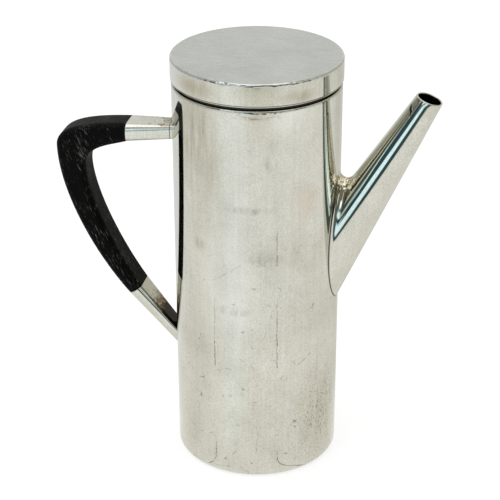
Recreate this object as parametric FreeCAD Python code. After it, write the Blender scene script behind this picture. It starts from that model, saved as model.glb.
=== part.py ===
import FreeCAD, Part
import math
import os

# Coffee pot of sheet silver: a straight round body with a let-in base, a slanting conical spout
# over a pierced strainer, an ebony handle pinned in two tapered sockets, and a flat lift-off lid
# whose bezel sits on a bearer ring inside the mouth.
# Millimetres. The origin is the centre of the base on the table and +Z is up.
# The spout points along +X and the handle along -X.

# Body
body_radius = 45.0          # outside
body_height = 218.7         # table to rim
wall = 1.0                  # body sheet
base_edge_radius = 2.8      # outside, where the wall turns in under the pot
foot_width = 5.0            # flat stretch of the turned-in edge
base_thickness = 1.2
solder_gap = 0.05           # between faces that are soldered together

# Lid
lid_gap = 1.5               # shadow gap between rim and lid
lid_overhang = 0.5          # lid stands out past the body
lid_height = 12.95          # gap to the flat top
lid_top_thickness = 1.5
lid_wall = 1.0
lid_top_edge = 1.2          # radius
lid_low_edge = 1.2          # radius
bezel_depth = 6.0           # below the rim
bezel_wall = 0.8
bezel_clearance = 0.4       # radial, inside the mouth
bearer_width = 3.0
bearer_thickness = 1.5

# Spout
spout_reach = 45.7          # body wall to the middle of the mouth
spout_drop = 3.6            # rim down to the middle of the mouth
spout_angle = 61.3          # degrees up from the level
spout_taper = 4.5           # degrees, half angle of the cone
spout_tip_radius = 6.95     # outside, at the mouth
spout_wall = 0.9
mouth_tilt = 18.0           # degrees, mouth lowered towards the lip
crotch_radius = 4.0         # blend between spout and body, at the top
seam_radius = 0.4           # blend at the bottom of the seam

# Strainer pierced in the wall behind the spout
strainer_rows = 7
strainer_columns = 3
strainer_pitch = 6.0
strainer_hole_radius = 1.6

# Handle
handle_width = 18.0
handle_corner = 3.6         # radius along the grip's edges
handle_reach = 64.9         # body wall to the back of the heel
heel_thickness = 16.1       # level through the heel
heel_drop = 10.1            # middle of the upper socket down to the back of the heel
heel_inner_drop = 21.6      # middle of the upper socket down to the inside of the heel
upper_drop = 32.8           # rim to the middle of the upper socket's mouth
upper_thickness = 10.4      # grip where it enters the upper socket
lower_drop = 94.85          # middle of the upper socket's mouth to that of the lower
lower_thickness = 8.4       # grip where it enters the lower socket
lower_tilt = 32.3           # degrees, lower socket's mouth from the level

# Lengths of the curves' control arms, along the grip's outer and inner edges
outer_arms = {"top": 16.6, "heel_up": 12.3, "heel_down": 27.1, "low": 30.9}
inner_arms = {"top": 10.6, "heel_up": 12.0, "heel_down": 17.1, "low": 28.3}
outer_angles = {"top": 3.5, "low": 49.2}      # degrees down from the level
inner_angles = {"top": 18.7, "low": 56.1}

# Sockets, called ferrules
upper_length = 25.3         # body wall to mouth, measured level
upper_rise = 1.9            # middle climbs from the mouth to the body
upper_root_width = 14.0
upper_root_thickness = 8.2
lower_length = 23.35
lower_fall = 28.1
lower_root_width = 12.0
lower_root_thickness = 6.4
root_corner = 2.2           # radius along the socket's edges at the body
socket_wall = 1.3
tenon_length = 14.0
tenon_clearance = 0.1
pin_radius = 1.2
pin_clearance = 0.03
pin_place = 7.0             # from the mouth, along the socket
pin_tip = 1.2               # past the middle of the tenon
pin_bottom_gap = 0.3

# Sizes that follow from the ones above
mouth_radius = body_radius - wall
rim_outer_radius = 0.8 * wall
rim_inner_radius = 0.15 * wall
foot_inner = body_radius - base_edge_radius - foot_width
lid_radius = body_radius + lid_overhang
lid_bottom = body_height + lid_gap
lid_top_bottom = lid_bottom + lid_height - lid_top_thickness
bearer_top = body_height - bezel_depth
bezel_radius = mouth_radius - bezel_clearance
spout_slope = math.radians(spout_angle)
spout_spread = math.tan(math.radians(spout_taper))

vector = FreeCAD.Vector
up = vector(0, 0, 1)
spout_tip = vector(body_radius + spout_reach, 0, body_height - spout_drop)
spout_down = vector(-math.cos(spout_slope), 0, -math.sin(spout_slope))


def rounded_outline(corners):
    """Closed wire in the XZ plane through (x, z, radius) corners, each rounded by a tangent arc."""
    points = [vector(x, 0, z) for x, z, radius in corners]
    edges = []
    arcs = []
    for i, corner in enumerate(points):
        back = (points[i - 1] - corner).normalize()
        ahead = (points[(i + 1) % len(points)] - corner).normalize()
        radius = corners[i][2]
        half = back.getAngle(ahead) / 2
        setback = radius / math.tan(half)
        middle = corner + (back + ahead).normalize() * (radius / math.sin(half) - radius)
        arcs.append((corner + back * setback, middle, corner + ahead * setback, radius))
    for i, (start, middle, end, radius) in enumerate(arcs):
        if radius > 0:
            edges.append(Part.Arc(start, middle, end).toShape())
        following = arcs[(i + 1) % len(arcs)][0]
        edges.append(Part.LineSegment(end, following).toShape())
    return Part.Wire(edges)


def turned(corners):
    """Solid of revolution about the pot's axis."""
    return Part.Face(rounded_outline(corners)).revolve(vector(), up, 360)


def ring(inner, outer, bottom, height):
    """Plain flat ring about the pot's axis."""
    blank = Part.makeCylinder(outer, height, vector(0, 0, bottom))
    return blank.cut(Part.makeCylinder(inner, height, vector(0, 0, bottom)))


def body_core(radius):
    """Upright cylinder that is taller than the pot, for shaping what meets the wall."""
    return Part.makeCylinder(radius, 3 * body_height, vector(0, 0, -body_height))


# Body pieces

def strainer_holes():
    """Level holes through the wall, in rows and columns about the middle of the spout's foot."""
    middle = spout_tip.z - spout_reach * math.tan(spout_slope)
    holes = []
    for row in range(strainer_rows):
        for column in range(strainer_columns):
            y = (column - (strainer_columns - 1) / 2) * strainer_pitch
            z = middle + (row - (strainer_rows - 1) / 2) * strainer_pitch
            start = vector(body_radius / 2, y, z)
            holes.append(Part.makeCylinder(strainer_hole_radius, body_radius, start, vector(1, 0, 0)))
    return Part.makeCompound(holes)


def make_body_wall():
    shell = turned([
        (foot_inner, 0, 0),
        (body_radius, 0, base_edge_radius),
        (body_radius, body_height, rim_outer_radius),
        (mouth_radius, body_height, rim_inner_radius),
        (mouth_radius, wall, base_edge_radius - wall),
        (foot_inner, wall, 0),
    ])
    return shell.cut(strainer_holes())


def make_base_plate():
    return Part.makeCylinder(foot_inner - solder_gap, base_thickness)


def make_lid_bearer():
    outer = mouth_radius - solder_gap
    return ring(outer - bearer_width, outer, bearer_top - bearer_thickness, bearer_thickness)


# Spout

def spout_cone(inset):
    """Cone of the spout, moved in by inset, from past the mouth down to the pot's axis."""
    past = 2 * spout_tip_radius
    below = spout_tip.x / math.cos(spout_slope)
    narrow = spout_tip_radius - inset - past * spout_spread
    wide = spout_tip_radius - inset + below * spout_spread
    return Part.makeCone(narrow, wide, past + below, spout_tip - spout_down * past, spout_down)


def blended_half(inset):
    """Back half of body and spout in one, with a blend that fades down the seam."""
    side = 6 * body_radius
    back_half = Part.makeBox(side, side, 4 * body_height, vector(-side / 2, 0, -2 * body_height))
    half = body_core(body_radius - inset).fuse(spout_cone(inset)).common(back_half)
    meeting = {"Part::GeomCone", "Part::GeomCylinder"}
    for edge in half.Edges:
        faces = half.ancestorsOfType(edge, Part.Face)
        if {face.Surface.TypeId for face in faces} == meeting:
            seam = edge
    radii = [crotch_radius + inset, seam_radius + inset]
    if seam.firstVertex().Point.z < seam.lastVertex().Point.z:
        radii.reverse()
    return half.makeFillet(radii[0], radii[1], [seam])


def make_spout():
    half = blended_half(0).cut(blended_half(spout_wall))
    half = half.cut(body_core(body_radius + solder_gap))
    waste = Part.makeBox(6 * body_radius, 6 * body_radius, body_height)
    waste.translate(vector(-3 * body_radius, -3 * body_radius, 0))
    waste.Placement = FreeCAD.Placement(
        spout_tip, FreeCAD.Rotation(vector(0, 1, 0), mouth_tilt)
    ).multiply(waste.Placement)
    half = half.cut(waste)
    half = max(half.Solids, key=lambda solid: solid.BoundBox.XMax)
    return half.fuse(half.mirror(vector(), vector(0, 1, 0))).removeSplitter()


# Handle

def rounded_section(centre, across, width, thickness, corner):
    """Rounded rectangle: width along Y, thickness along the unit vector across."""
    beside = vector(0, 1, 0)

    def place(u, v):
        return centre + beside * u + across * v

    reach = width / 2 - corner
    rise = thickness / 2 - corner
    slant = corner * math.sqrt(0.5)
    edges = []
    for u, v in ((1, 1), (-1, 1), (-1, -1), (1, -1)):
        first = place(u * width / 2, v * rise)
        middle = place(u * (reach + slant), v * (rise + slant))
        last = place(u * reach, v * thickness / 2)
        if u * v < 0:
            first, last = last, first
        if edges:
            edges.append(Part.LineSegment(edges[-1].lastVertex().Point, first).toShape())
        edges.append(Part.Arc(first, middle, last).toShape())
    closing = Part.LineSegment(edges[-1].lastVertex().Point, edges[0].firstVertex().Point)
    return Part.Wire(edges + [closing.toShape()])


def blend(start, end, share):
    return start + (end - start) * share


lower_slope = math.radians(lower_tilt)
upper_height = body_height - upper_drop
ferrules = {
    "upper": {
        "mouth": vector(-body_radius - upper_length, 0, upper_height),
        "root": vector(-body_radius, 0, upper_height + upper_rise),
        "across": up,
        "widths": (handle_width, upper_root_width),
        "thicknesses": (upper_thickness, upper_root_thickness),
    },
    "lower": {
        "mouth": vector(-body_radius - lower_length, 0, upper_height - lower_drop),
        "root": vector(-body_radius, 0, upper_height - lower_drop - lower_fall),
        "across": vector(math.cos(lower_slope), 0, math.sin(lower_slope)),
        "widths": (handle_width, lower_root_width),
        "thicknesses": (lower_thickness, lower_root_thickness),
    },
}


def ferrule_stretch(ferrule, inset, length):
    """Tapered bar from the socket's mouth towards the body, moved in by inset on every side."""
    span = (ferrule["root"] - ferrule["mouth"]).Length
    sections = []
    for share in (0, length / span):
        thickness = blend(*ferrule["thicknesses"], share)
        inner_thickness = thickness - 2 * inset
        sections.append(rounded_section(
            blend(ferrule["mouth"], ferrule["root"], share),
            ferrule["across"],
            blend(*ferrule["widths"], share) - 2 * inset,
            inner_thickness,
            blend(handle_corner, root_corner, share) * inner_thickness / thickness,
        ))
    return Part.makeLoft(sections, True, True)


def ferrule_outside(ferrule):
    """Outside of a socket, run on into the body and cut to the wall."""
    span = (ferrule["root"] - ferrule["mouth"]).Length
    run_on = span + ferrule["thicknesses"][0]
    return ferrule_stretch(ferrule, 0, run_on).cut(body_core(body_radius + solder_gap))


def pin_rod(ferrule, radius, tip):
    """Rod square to the socket, from outside its hidden lower face to past the middle."""
    span = (ferrule["root"] - ferrule["mouth"]).Length
    middle = blend(ferrule["mouth"], ferrule["root"], pin_place / span)
    start = middle - ferrule["across"] * ferrule["thicknesses"][0]
    return Part.makeCylinder(radius, ferrule["thicknesses"][0] + tip, start, ferrule["across"])


def pin_hole(ferrule):
    return pin_rod(ferrule, pin_radius + pin_clearance, pin_tip + pin_bottom_gap)


def make_ferrule(ferrule):
    span = (ferrule["root"] - ferrule["mouth"]).Length
    hollow = ferrule_stretch(ferrule, socket_wall, span + ferrule["thicknesses"][0])
    return ferrule_outside(ferrule).cut(hollow).cut(pin_hole(ferrule))


def make_pin(ferrule):
    return pin_rod(ferrule, pin_radius, pin_tip).common(ferrule_outside(ferrule))


def grip_edge(side, back_x, back_z, arms, angles):
    """Two joined curves along one edge of the grip: upper socket, heel, lower socket."""
    top_end = ferrules["upper"]["mouth"] + up * side * upper_thickness / 2
    low_end = ferrules["lower"]["mouth"] - ferrules["lower"]["across"] * side * lower_thickness / 2
    heel = vector(back_x, 0, back_z)
    top = math.radians(angles["top"])
    low = math.radians(angles["low"])
    upper_curve = Part.BezierCurve()
    upper_curve.setPoles([
        top_end,
        top_end - vector(math.cos(top), 0, math.sin(top)) * arms["top"],
        heel + up * arms["heel_up"],
        heel,
    ])
    lower_curve = Part.BezierCurve()
    lower_curve.setPoles([
        heel,
        heel - up * arms["heel_down"],
        low_end + vector(-math.cos(low), 0, math.sin(low)) * arms["low"],
        low_end,
    ])
    return [upper_curve.toShape(), lower_curve.toShape()]


def make_handle_grip():
    back = -body_radius - handle_reach
    outer = grip_edge(1, back, upper_height - heel_drop, outer_arms, outer_angles)
    inner = grip_edge(-1, back + heel_thickness, upper_height - heel_inner_drop, inner_arms, inner_angles)
    top_end = Part.LineSegment(outer[0].firstVertex().Point, inner[0].firstVertex().Point).toShape()
    low_end = Part.LineSegment(outer[1].lastVertex().Point, inner[1].lastVertex().Point).toShape()
    outline = Part.Wire(Part.sortEdges(outer + inner + [top_end, low_end])[0])
    outline.translate(vector(0, -handle_width / 2, 0))
    grip = Part.Face(outline).extrude(vector(0, handle_width, 0))
    straight = {"Part::GeomLine"}
    long_edges = [edge for edge in grip.Edges if edge.Curve.TypeId not in straight]
    grip = grip.makeFillet(handle_corner, long_edges)
    for ferrule in ferrules.values():
        tenon = ferrule_stretch(ferrule, socket_wall + tenon_clearance, tenon_length)
        grip = grip.fuse(tenon).cut(pin_hole(ferrule))
    return grip.removeSplitter()


# Lid

def make_lid_top():
    return turned([
        (0, lid_top_bottom, 0),
        (lid_radius, lid_top_bottom, 0),
        (lid_radius, lid_top_bottom + lid_top_thickness, lid_top_edge),
        (0, lid_top_bottom + lid_top_thickness, 0),
    ])


def make_lid_band():
    ledge = bezel_radius - bezel_wall
    return turned([
        (ledge, lid_bottom, 0),
        (lid_radius, lid_bottom, lid_low_edge),
        (lid_radius, lid_top_bottom, 0),
        (lid_radius - lid_wall, lid_top_bottom, 0),
        (lid_radius - lid_wall, lid_bottom + lid_wall, 0),
        (ledge, lid_bottom + lid_wall, 0),
    ])


def make_lid_bezel():
    return ring(bezel_radius - bezel_wall, bezel_radius, bearer_top, bezel_depth + lid_gap)


pieces = {
    "body_wall": make_body_wall(),
    "base_plate": make_base_plate(),
    "lid_bearer": make_lid_bearer(),
    "spout": make_spout(),
    "upper_ferrule": make_ferrule(ferrules["upper"]),
    "lower_ferrule": make_ferrule(ferrules["lower"]),
    "handle_grip": make_handle_grip(),
    "upper_handle_pin": make_pin(ferrules["upper"]),
    "lower_handle_pin": make_pin(ferrules["lower"]),
    "lid_top": make_lid_top(),
    "lid_band": make_lid_band(),
    "lid_bezel": make_lid_bezel(),
}

os.makedirs("parts", exist_ok=True)
for name, shape in pieces.items():
    print(name, "solids", len(shape.Solids), "valid", shape.isValid(), "volume", round(shape.Volume, 1))
    shape.exportStep("parts/" + name + ".step")
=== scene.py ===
import math

import bmesh
import bpy
import numpy as np
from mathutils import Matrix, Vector


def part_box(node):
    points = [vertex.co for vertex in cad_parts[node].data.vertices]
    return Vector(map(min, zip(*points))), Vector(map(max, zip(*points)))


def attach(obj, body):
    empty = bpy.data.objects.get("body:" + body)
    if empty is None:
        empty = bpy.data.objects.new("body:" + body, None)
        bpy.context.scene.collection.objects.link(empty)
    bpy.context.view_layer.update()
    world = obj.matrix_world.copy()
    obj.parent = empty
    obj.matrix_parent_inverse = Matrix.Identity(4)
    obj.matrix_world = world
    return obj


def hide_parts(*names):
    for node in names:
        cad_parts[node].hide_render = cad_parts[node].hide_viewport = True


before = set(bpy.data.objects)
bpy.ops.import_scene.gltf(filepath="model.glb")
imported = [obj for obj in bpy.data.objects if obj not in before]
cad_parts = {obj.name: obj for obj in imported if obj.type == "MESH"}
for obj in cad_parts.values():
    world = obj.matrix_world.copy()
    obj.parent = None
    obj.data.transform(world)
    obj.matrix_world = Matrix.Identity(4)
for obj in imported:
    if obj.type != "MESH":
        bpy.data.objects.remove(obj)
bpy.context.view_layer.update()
mm = 0.001
print("frame loaded:", len(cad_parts), "nodes")


# Radius, lowest and highest height of a turned node, as the frame has it.
def turnedSize(node):
    low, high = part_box(node)
    return (high.x - low.x) / 2, low.z, high.z


# Lengths in mm as metres.
def metres(lengths):
    return tuple(value * mm for value in lengths)


# Point (out, up) in mm, set in the plane through spout and handle.
def sidePoint(pair):
    return np.array([pair[0], 0.0, pair[1]]) * mm


# A handle socket's middle at its mouth and at its root, and the direction through its thickness.
def socketLine(socket):
    tilt = math.radians(socket["tilt"])
    across = np.array([math.cos(tilt), 0.0, math.sin(tilt)])
    return sidePoint(socket["mouth"]), sidePoint(socket["root"]), across


potRadius, potFoot, potRim = turnedSize("body_wall")
contactGap = 0.03 * mm  # soldered pieces stop this far from the tube
mergeReach = 2e-7  # metres within which two points are one
sharpAngle = 38.0  # degrees; an edge bent more than this stays crisp


# Points and quads become one closed smooth piece: doubles merge and faces turn outwards.
def makePiece(name, points, quads):
    mesh = bpy.data.meshes.new(name)
    mesh.from_pydata(points.reshape(-1, 3).tolist(), [], quads.reshape(-1, 4).tolist())
    work = bmesh.new()
    work.from_mesh(mesh)
    bmesh.ops.remove_doubles(work, verts=work.verts, dist=mergeReach)
    bmesh.ops.recalc_face_normals(work, faces=work.faces)
    work.to_mesh(mesh)
    work.free()
    mesh.polygons.foreach_set("use_smooth", np.ones(len(mesh.polygons), bool))
    mesh.set_sharp_from_angle(angle=math.radians(sharpAngle))
    piece = bpy.data.objects.new(name, mesh)
    bpy.context.scene.collection.objects.link(piece)
    return piece


# Quads of a rows by columns grid whose columns close into a ring; rows close too if asked.
def gridQuads(rows, columns, closeRows=False):
    index = np.arange(rows * columns).reshape(rows, columns)
    index = np.concatenate([index, index[:, :1]], axis=1)
    if closeRows:
        index = np.concatenate([index, index[:1]], axis=0)
    return np.stack([index[:-1, :-1], index[:-1, 1:], index[1:, 1:], index[1:, :-1]], axis=-1)


# Closed piece from a grid of points, rows by columns.
def gridPiece(name, grid, closeRows=False):
    return makePiece(name, grid, gridQuads(*grid.shape[:2], closeRows))


# Each vector divided by its own length.
def unit(vectors):
    return vectors / np.linalg.norm(vectors, axis=-1, keepdims=True)


# Arc from the first spoke to the last, a sweep of angle apart, at shares s of the way:
# (sin((1 - s) sweep) first + sin(s sweep) last) / sin(sweep).
def arcBetween(first, last, sweep, share):
    return (np.sin((1 - share) * sweep) * first + np.sin(share * sweep) * last) / np.sin(sweep)


# Corners (across, up, rounding) of a closed outline: each becomes an arc tangent to its two
# sides, with a guard point on either side so that the straight runs shade straight.
# Result is corners by points by 2.
def softCorners(corners, steps=6, guard=0.08 * mm):
    corners = np.array(corners, float)
    here, rounding = corners[:, :2], corners[:, 2:]
    back = unit(np.roll(here, 1, axis=0) - here)
    ahead = unit(np.roll(here, -1, axis=0) - here)
    half = np.arccos(np.clip((back * ahead).sum(1, keepdims=True), -1, 1)) / 2
    setback = rounding / np.tan(half)
    centre = here + unit(back + ahead) * rounding / np.sin(half)
    start, end = here + back * setback - centre, here + ahead * setback - centre
    sweep = math.pi - 2 * half
    share = np.linspace(0, 1, steps + 1)[None, :, None]
    arc = centre[:, None] + arcBetween(start[:, None], end[:, None], sweep[:, None], share)
    before = here + back * (setback + guard)
    after = here + ahead * (setback + guard)
    return np.concatenate([before[:, None], arc, after[:, None]], axis=1)


# Turned surface: outline points (r, z) carried round the Z axis, (r cos a, r sin a, z).
def turnedGrid(outline, angles):
    radius, height = outline[:, :1], outline[:, 1:]
    return np.stack(
        [radius * np.cos(angles), radius * np.sin(angles), height + 0 * angles], axis=-1
    )


# Equal steps of angle once round: 2 pi k / count.
def evenAngles(count):
    return np.linspace(0, 2 * math.pi, count, endpoint=False)


# Outline with rounded corners, turned round the Z axis into a closed ring or disc.
def turnedPiece(name, corners, count=256, steps=6):
    outline = softCorners(corners, steps).reshape(-1, 2)
    return gridPiece(name, turnedGrid(outline, evenAngles(count)), closeRows=True)


# How far each line start + s * direction runs before it meets an upright tube of that radius:
# the smaller root of the circle's equation in x and y.
def runToTube(start, direction, radius):
    a = (direction[..., :2] ** 2).sum(-1)
    b = (start[..., :2] * direction[..., :2]).sum(-1)
    c = (start[..., :2] ** 2).sum(-1) - radius**2
    return ((-b - np.sqrt(b * b - a * c)) / a)[..., None]


# Gives a piece its material and its body, and hides the node it stands for.
def finishPiece(piece, body, node, material):
    piece.data.materials.append(material)
    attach(piece, body)
    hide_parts(node)


# Adds a shader node; an input is a value, or another node's output to link.
def addNode(tree, kind, inputs=None, **settings):
    node = tree.nodes.new(kind)
    for key, value in settings.items():
        setattr(node, key, value)
    for key, value in (inputs or {}).items():
        if isinstance(value, bpy.types.NodeSocket):
            tree.links.new(value, node.inputs[key])
        else:
            node.inputs[key].default_value = value
    return node


# Colour eased through stops of (place, colour).
def ramp(tree, source, stops):
    node = addNode(tree, "ShaderNodeValToRGB", {"Fac": source})
    node.color_ramp.interpolation = "EASE"
    elements = node.color_ramp.elements
    while len(elements) < len(stops):
        elements.new(0.5)
    for element, (place, colour) in zip(elements, stops):
        element.position = place
        element.color = (*colour, 1)
    return node.outputs[0]


# Noise on coordinates that are turned and then squeezed; a small squeeze along an axis makes streaks.
def noise(tree, coords, scale, detail=2.0, squeeze=(1, 1, 1), turn=(0, 0, 0), rough=0.5, output="Fac"):
    mapped = addNode(
        tree,
        "ShaderNodeMapping",
        {"Vector": coords, "Scale": tuple(1 / value for value in squeeze), "Rotation": turn},
        vector_type="TEXTURE",
    )
    node = addNode(
        tree,
        "ShaderNodeTexNoise",
        {"Vector": mapped.outputs[0], "Scale": scale, "Detail": detail, "Roughness": rough},
    )
    return node.outputs[output]


# Colour between first and second by share; each is (red, green, blue) or an output.
def mixColour(tree, share, first, second, blend="MIX"):
    first, second = ((*colour, 1) if isinstance(colour, tuple) else colour for colour in (first, second))
    node = addNode(
        tree, "ShaderNodeMix", {0: share, 6: first, 7: second}, data_type="RGBA", blend_type=blend
    )
    return node.outputs[2]


# One step of arithmetic; clamp holds the result between nothing and one.
def calc(tree, operation, first, second=0.0, clamp=False):
    node = addNode(
        tree, "ShaderNodeMath", {0: first, 1: second}, operation=operation, use_clamp=clamp
    )
    return node.outputs[0]


# One step of arithmetic on vectors; a length, distance or dot product is a plain value.
def vectorCalc(tree, operation, first, second=(0, 0, 0), scale=1.0):
    inputs = {0: first, 1: second, 3: scale}
    node = addNode(tree, "ShaderNodeVectorMath", inputs, operation=operation)
    return node.outputs["Value" if operation in ("LENGTH", "DISTANCE", "DOT_PRODUCT") else "Vector"]


# Straight change from one value to another while the input goes from low to high.
def fade(tree, value, low, high, first=0.0, last=1.0):
    node = addNode(
        tree,
        "ShaderNodeMapRange",
        {"Value": value, "From Min": low, "From Max": high, "To Min": first, "To Max": last},
    )
    return node.outputs[0]


# Product of all the values.
def multiply(tree, *values):
    total = values[0]
    for value in values[1:]:
        total = calc(tree, "MULTIPLY", total, value)
    return total


# Largest of all the values.
def largest(tree, values):
    total = values[0]
    for value in values[1:]:
        total = calc(tree, "MAXIMUM", total, value)
    return total


# Sum of the values, each times its own share.
def shareSum(tree, *parts):
    total, *others = (multiply(tree, value, share) for value, share in parts)
    for other in others:
        total = calc(tree, "ADD", total, other)
    return total


# Line where a value passes a middle: full within one distance of it and gone beyond another.
def lineAt(tree, value, middle, gone, full):
    away = calc(tree, "ABSOLUTE", calc(tree, "SUBTRACT", value, middle))
    return fade(tree, away, gone, full)


noiseMiddle = 0.5  # a noise swings about this


# Noise value moved to swing about nothing, so that fading it out leaves no step.
def centred(tree, source):
    return calc(tree, "SUBTRACT", source, noiseMiddle)


# Distance from the upright axis through the pot's middle.
def reachFromAxis(tree, coords):
    return vectorCalc(tree, "LENGTH", vectorCalc(tree, "MULTIPLY", coords, (1, 1, 0)))


# Height above the table: the Z of the coordinates.
def heightOf(tree, coords):
    return addNode(tree, "ShaderNodeSeparateXYZ", {"Vector": coords}).outputs["Z"]


# Surface tilted as a height of that depth in mm would tilt it, laid over a normal if one is given.
def bumped(tree, height, strength, depth, normal=None):
    inputs = {"Height": height, "Strength": strength, "Distance": depth * mm}
    node = addNode(tree, "ShaderNodeBump", inputs)
    if normal is not None:
        tree.links.new(normal, node.inputs["Normal"])
    return node.outputs[0]


# The same with lumps of noise as the height, where the region's mask lets them show.
def lumpy(tree, coords, lumps, region, strength, depth, normal):
    height = multiply(tree, centred(tree, noise(tree, coords, **lumps)), region)
    return bumped(tree, height, strength, depth, normal)


# Fresh material: itself, its tree, its shader and its object coordinates.
def newMaterial(name):
    material = bpy.data.materials.new(name)
    material.use_nodes = True
    tree = material.node_tree
    shader = tree.nodes["Principled BSDF"]
    coords = addNode(tree, "ShaderNodeTexCoord").outputs["Object"]
    return material, tree, shader, coords


# Hands colour, roughness and tilt on to the shader.
def dressShader(tree, shader, colour, rough, bump):
    tree.links.new(colour, shader.inputs["Base Color"])
    tree.links.new(rough, shader.inputs["Roughness"])
    tree.links.new(bump, shader.inputs["Normal"])


# A noise is given by its cells to a metre (scale), its octaves (detail) and its squeeze.
streaky, upright, even = (1, 1, 0.12), (1, 1, 0.3), (1, 1, 1)
silverLook = {
    "bright": (0.825, 0.823, 0.757),
    "cloudy": (0.55, 0.543, 0.468),
    "tarnish": (0.10, 0.085, 0.055),
    "shine": (0.02, 0.06),  # roughness between the clear and the cloudy places
    "insideShine": 0.42,  # roughness of what lies inside the pot
    "insideDepth": (0.6, 0.9),  # mm under the tube's outer surface where the inside begins
    "cloud": {"scale": 24.0, "detail": 6.0, "rough": 0.66},
    "streak": {"scale": 700.0, "detail": 3.0, "squeeze": (1, 1, 0.04)},
    "streakShare": 0.28,
    "grain": {"scale": 1400.0, "detail": 3.0, "squeeze": (1, 1, 0.6), "rough": 0.7},
    "grainShare": 0.5,
    "cloudRange": (0.57, 1.22),  # clear below, cloudy above, for the sum of these three
    "pits": {"scale": 2600.0, "detail": 1.0, "squeeze": (1, 1, 0.5)},
    "pitRange": (0.40, 0.66),
    "pitShare": 0.2,
    "speckScale": 1000.0,
    "speckRange": (0.30, 0.08),  # of a cell, from a speck's edge to its dark middle
    "speckShare": 0.6,
    "crowd": {"scale": 48.0, "detail": 5.0, "rough": 0.7},  # where the specks gather
    "crowdRange": (0.55, 0.70),
    "dents": {"scale": 75.0, "detail": 2.0},
    "dentShare": 0.010,
    "dentDepth": 2.0,  # mm
}


# Hand-polished silver: cloudy patches, faint upright polishing streaks, fine grain, pits and dark
# specks. Each mark is a mask builder and the colour that shows through it.
def polishedSilver(name, look, marks=(), lumps=None):
    material, tree, shader, coords = newMaterial(name)
    cloud, streak, grain = (noise(tree, coords, **look[key]) for key in ("cloud", "streak", "grain"))
    tone = shareSum(tree, (cloud, 1.0), (streak, look["streakShare"]), (grain, look["grainShare"]))
    patch = fade(tree, tone, *look["cloudRange"])
    colour = mixColour(tree, patch, look["bright"], look["cloudy"])
    pits = noise(tree, coords, **look["pits"])
    pitMask = multiply(tree, fade(tree, pits, *look["pitRange"]), look["pitShare"])
    colour = mixColour(tree, pitMask, colour, look["tarnish"])
    dots = addNode(tree, "ShaderNodeTexVoronoi", {"Vector": coords, "Scale": look["speckScale"]})
    dotMask = fade(tree, dots.outputs["Distance"], *look["speckRange"])
    crowd = noise(tree, coords, **look["crowd"])
    crowdMask = fade(tree, crowd, *look["crowdRange"])
    specks = multiply(tree, dotMask, crowdMask, look["speckShare"])
    colour = mixColour(tree, specks, colour, look["tarnish"])
    for build, tint in marks:
        colour = mixColour(tree, build(tree, coords), colour, tint)
    rough = fade(tree, patch, 0.0, 1.0, *look["shine"])
    begins, full = (potRadius - depth * mm for depth in look["insideDepth"])
    inside = fade(tree, reachFromAxis(tree, coords), begins, full)
    rough = calc(tree, "MAXIMUM", rough, multiply(tree, inside, look["insideShine"]))
    dents = noise(tree, coords, **look["dents"])
    bump = bumped(tree, dents, look["dentShare"], look["dentDepth"])
    if lumps:
        bump = lumps(tree, coords, bump)
    shader.inputs["Metallic"].default_value = 1.0
    dressShader(tree, shader, colour, rough, bump)
    return material
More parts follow.
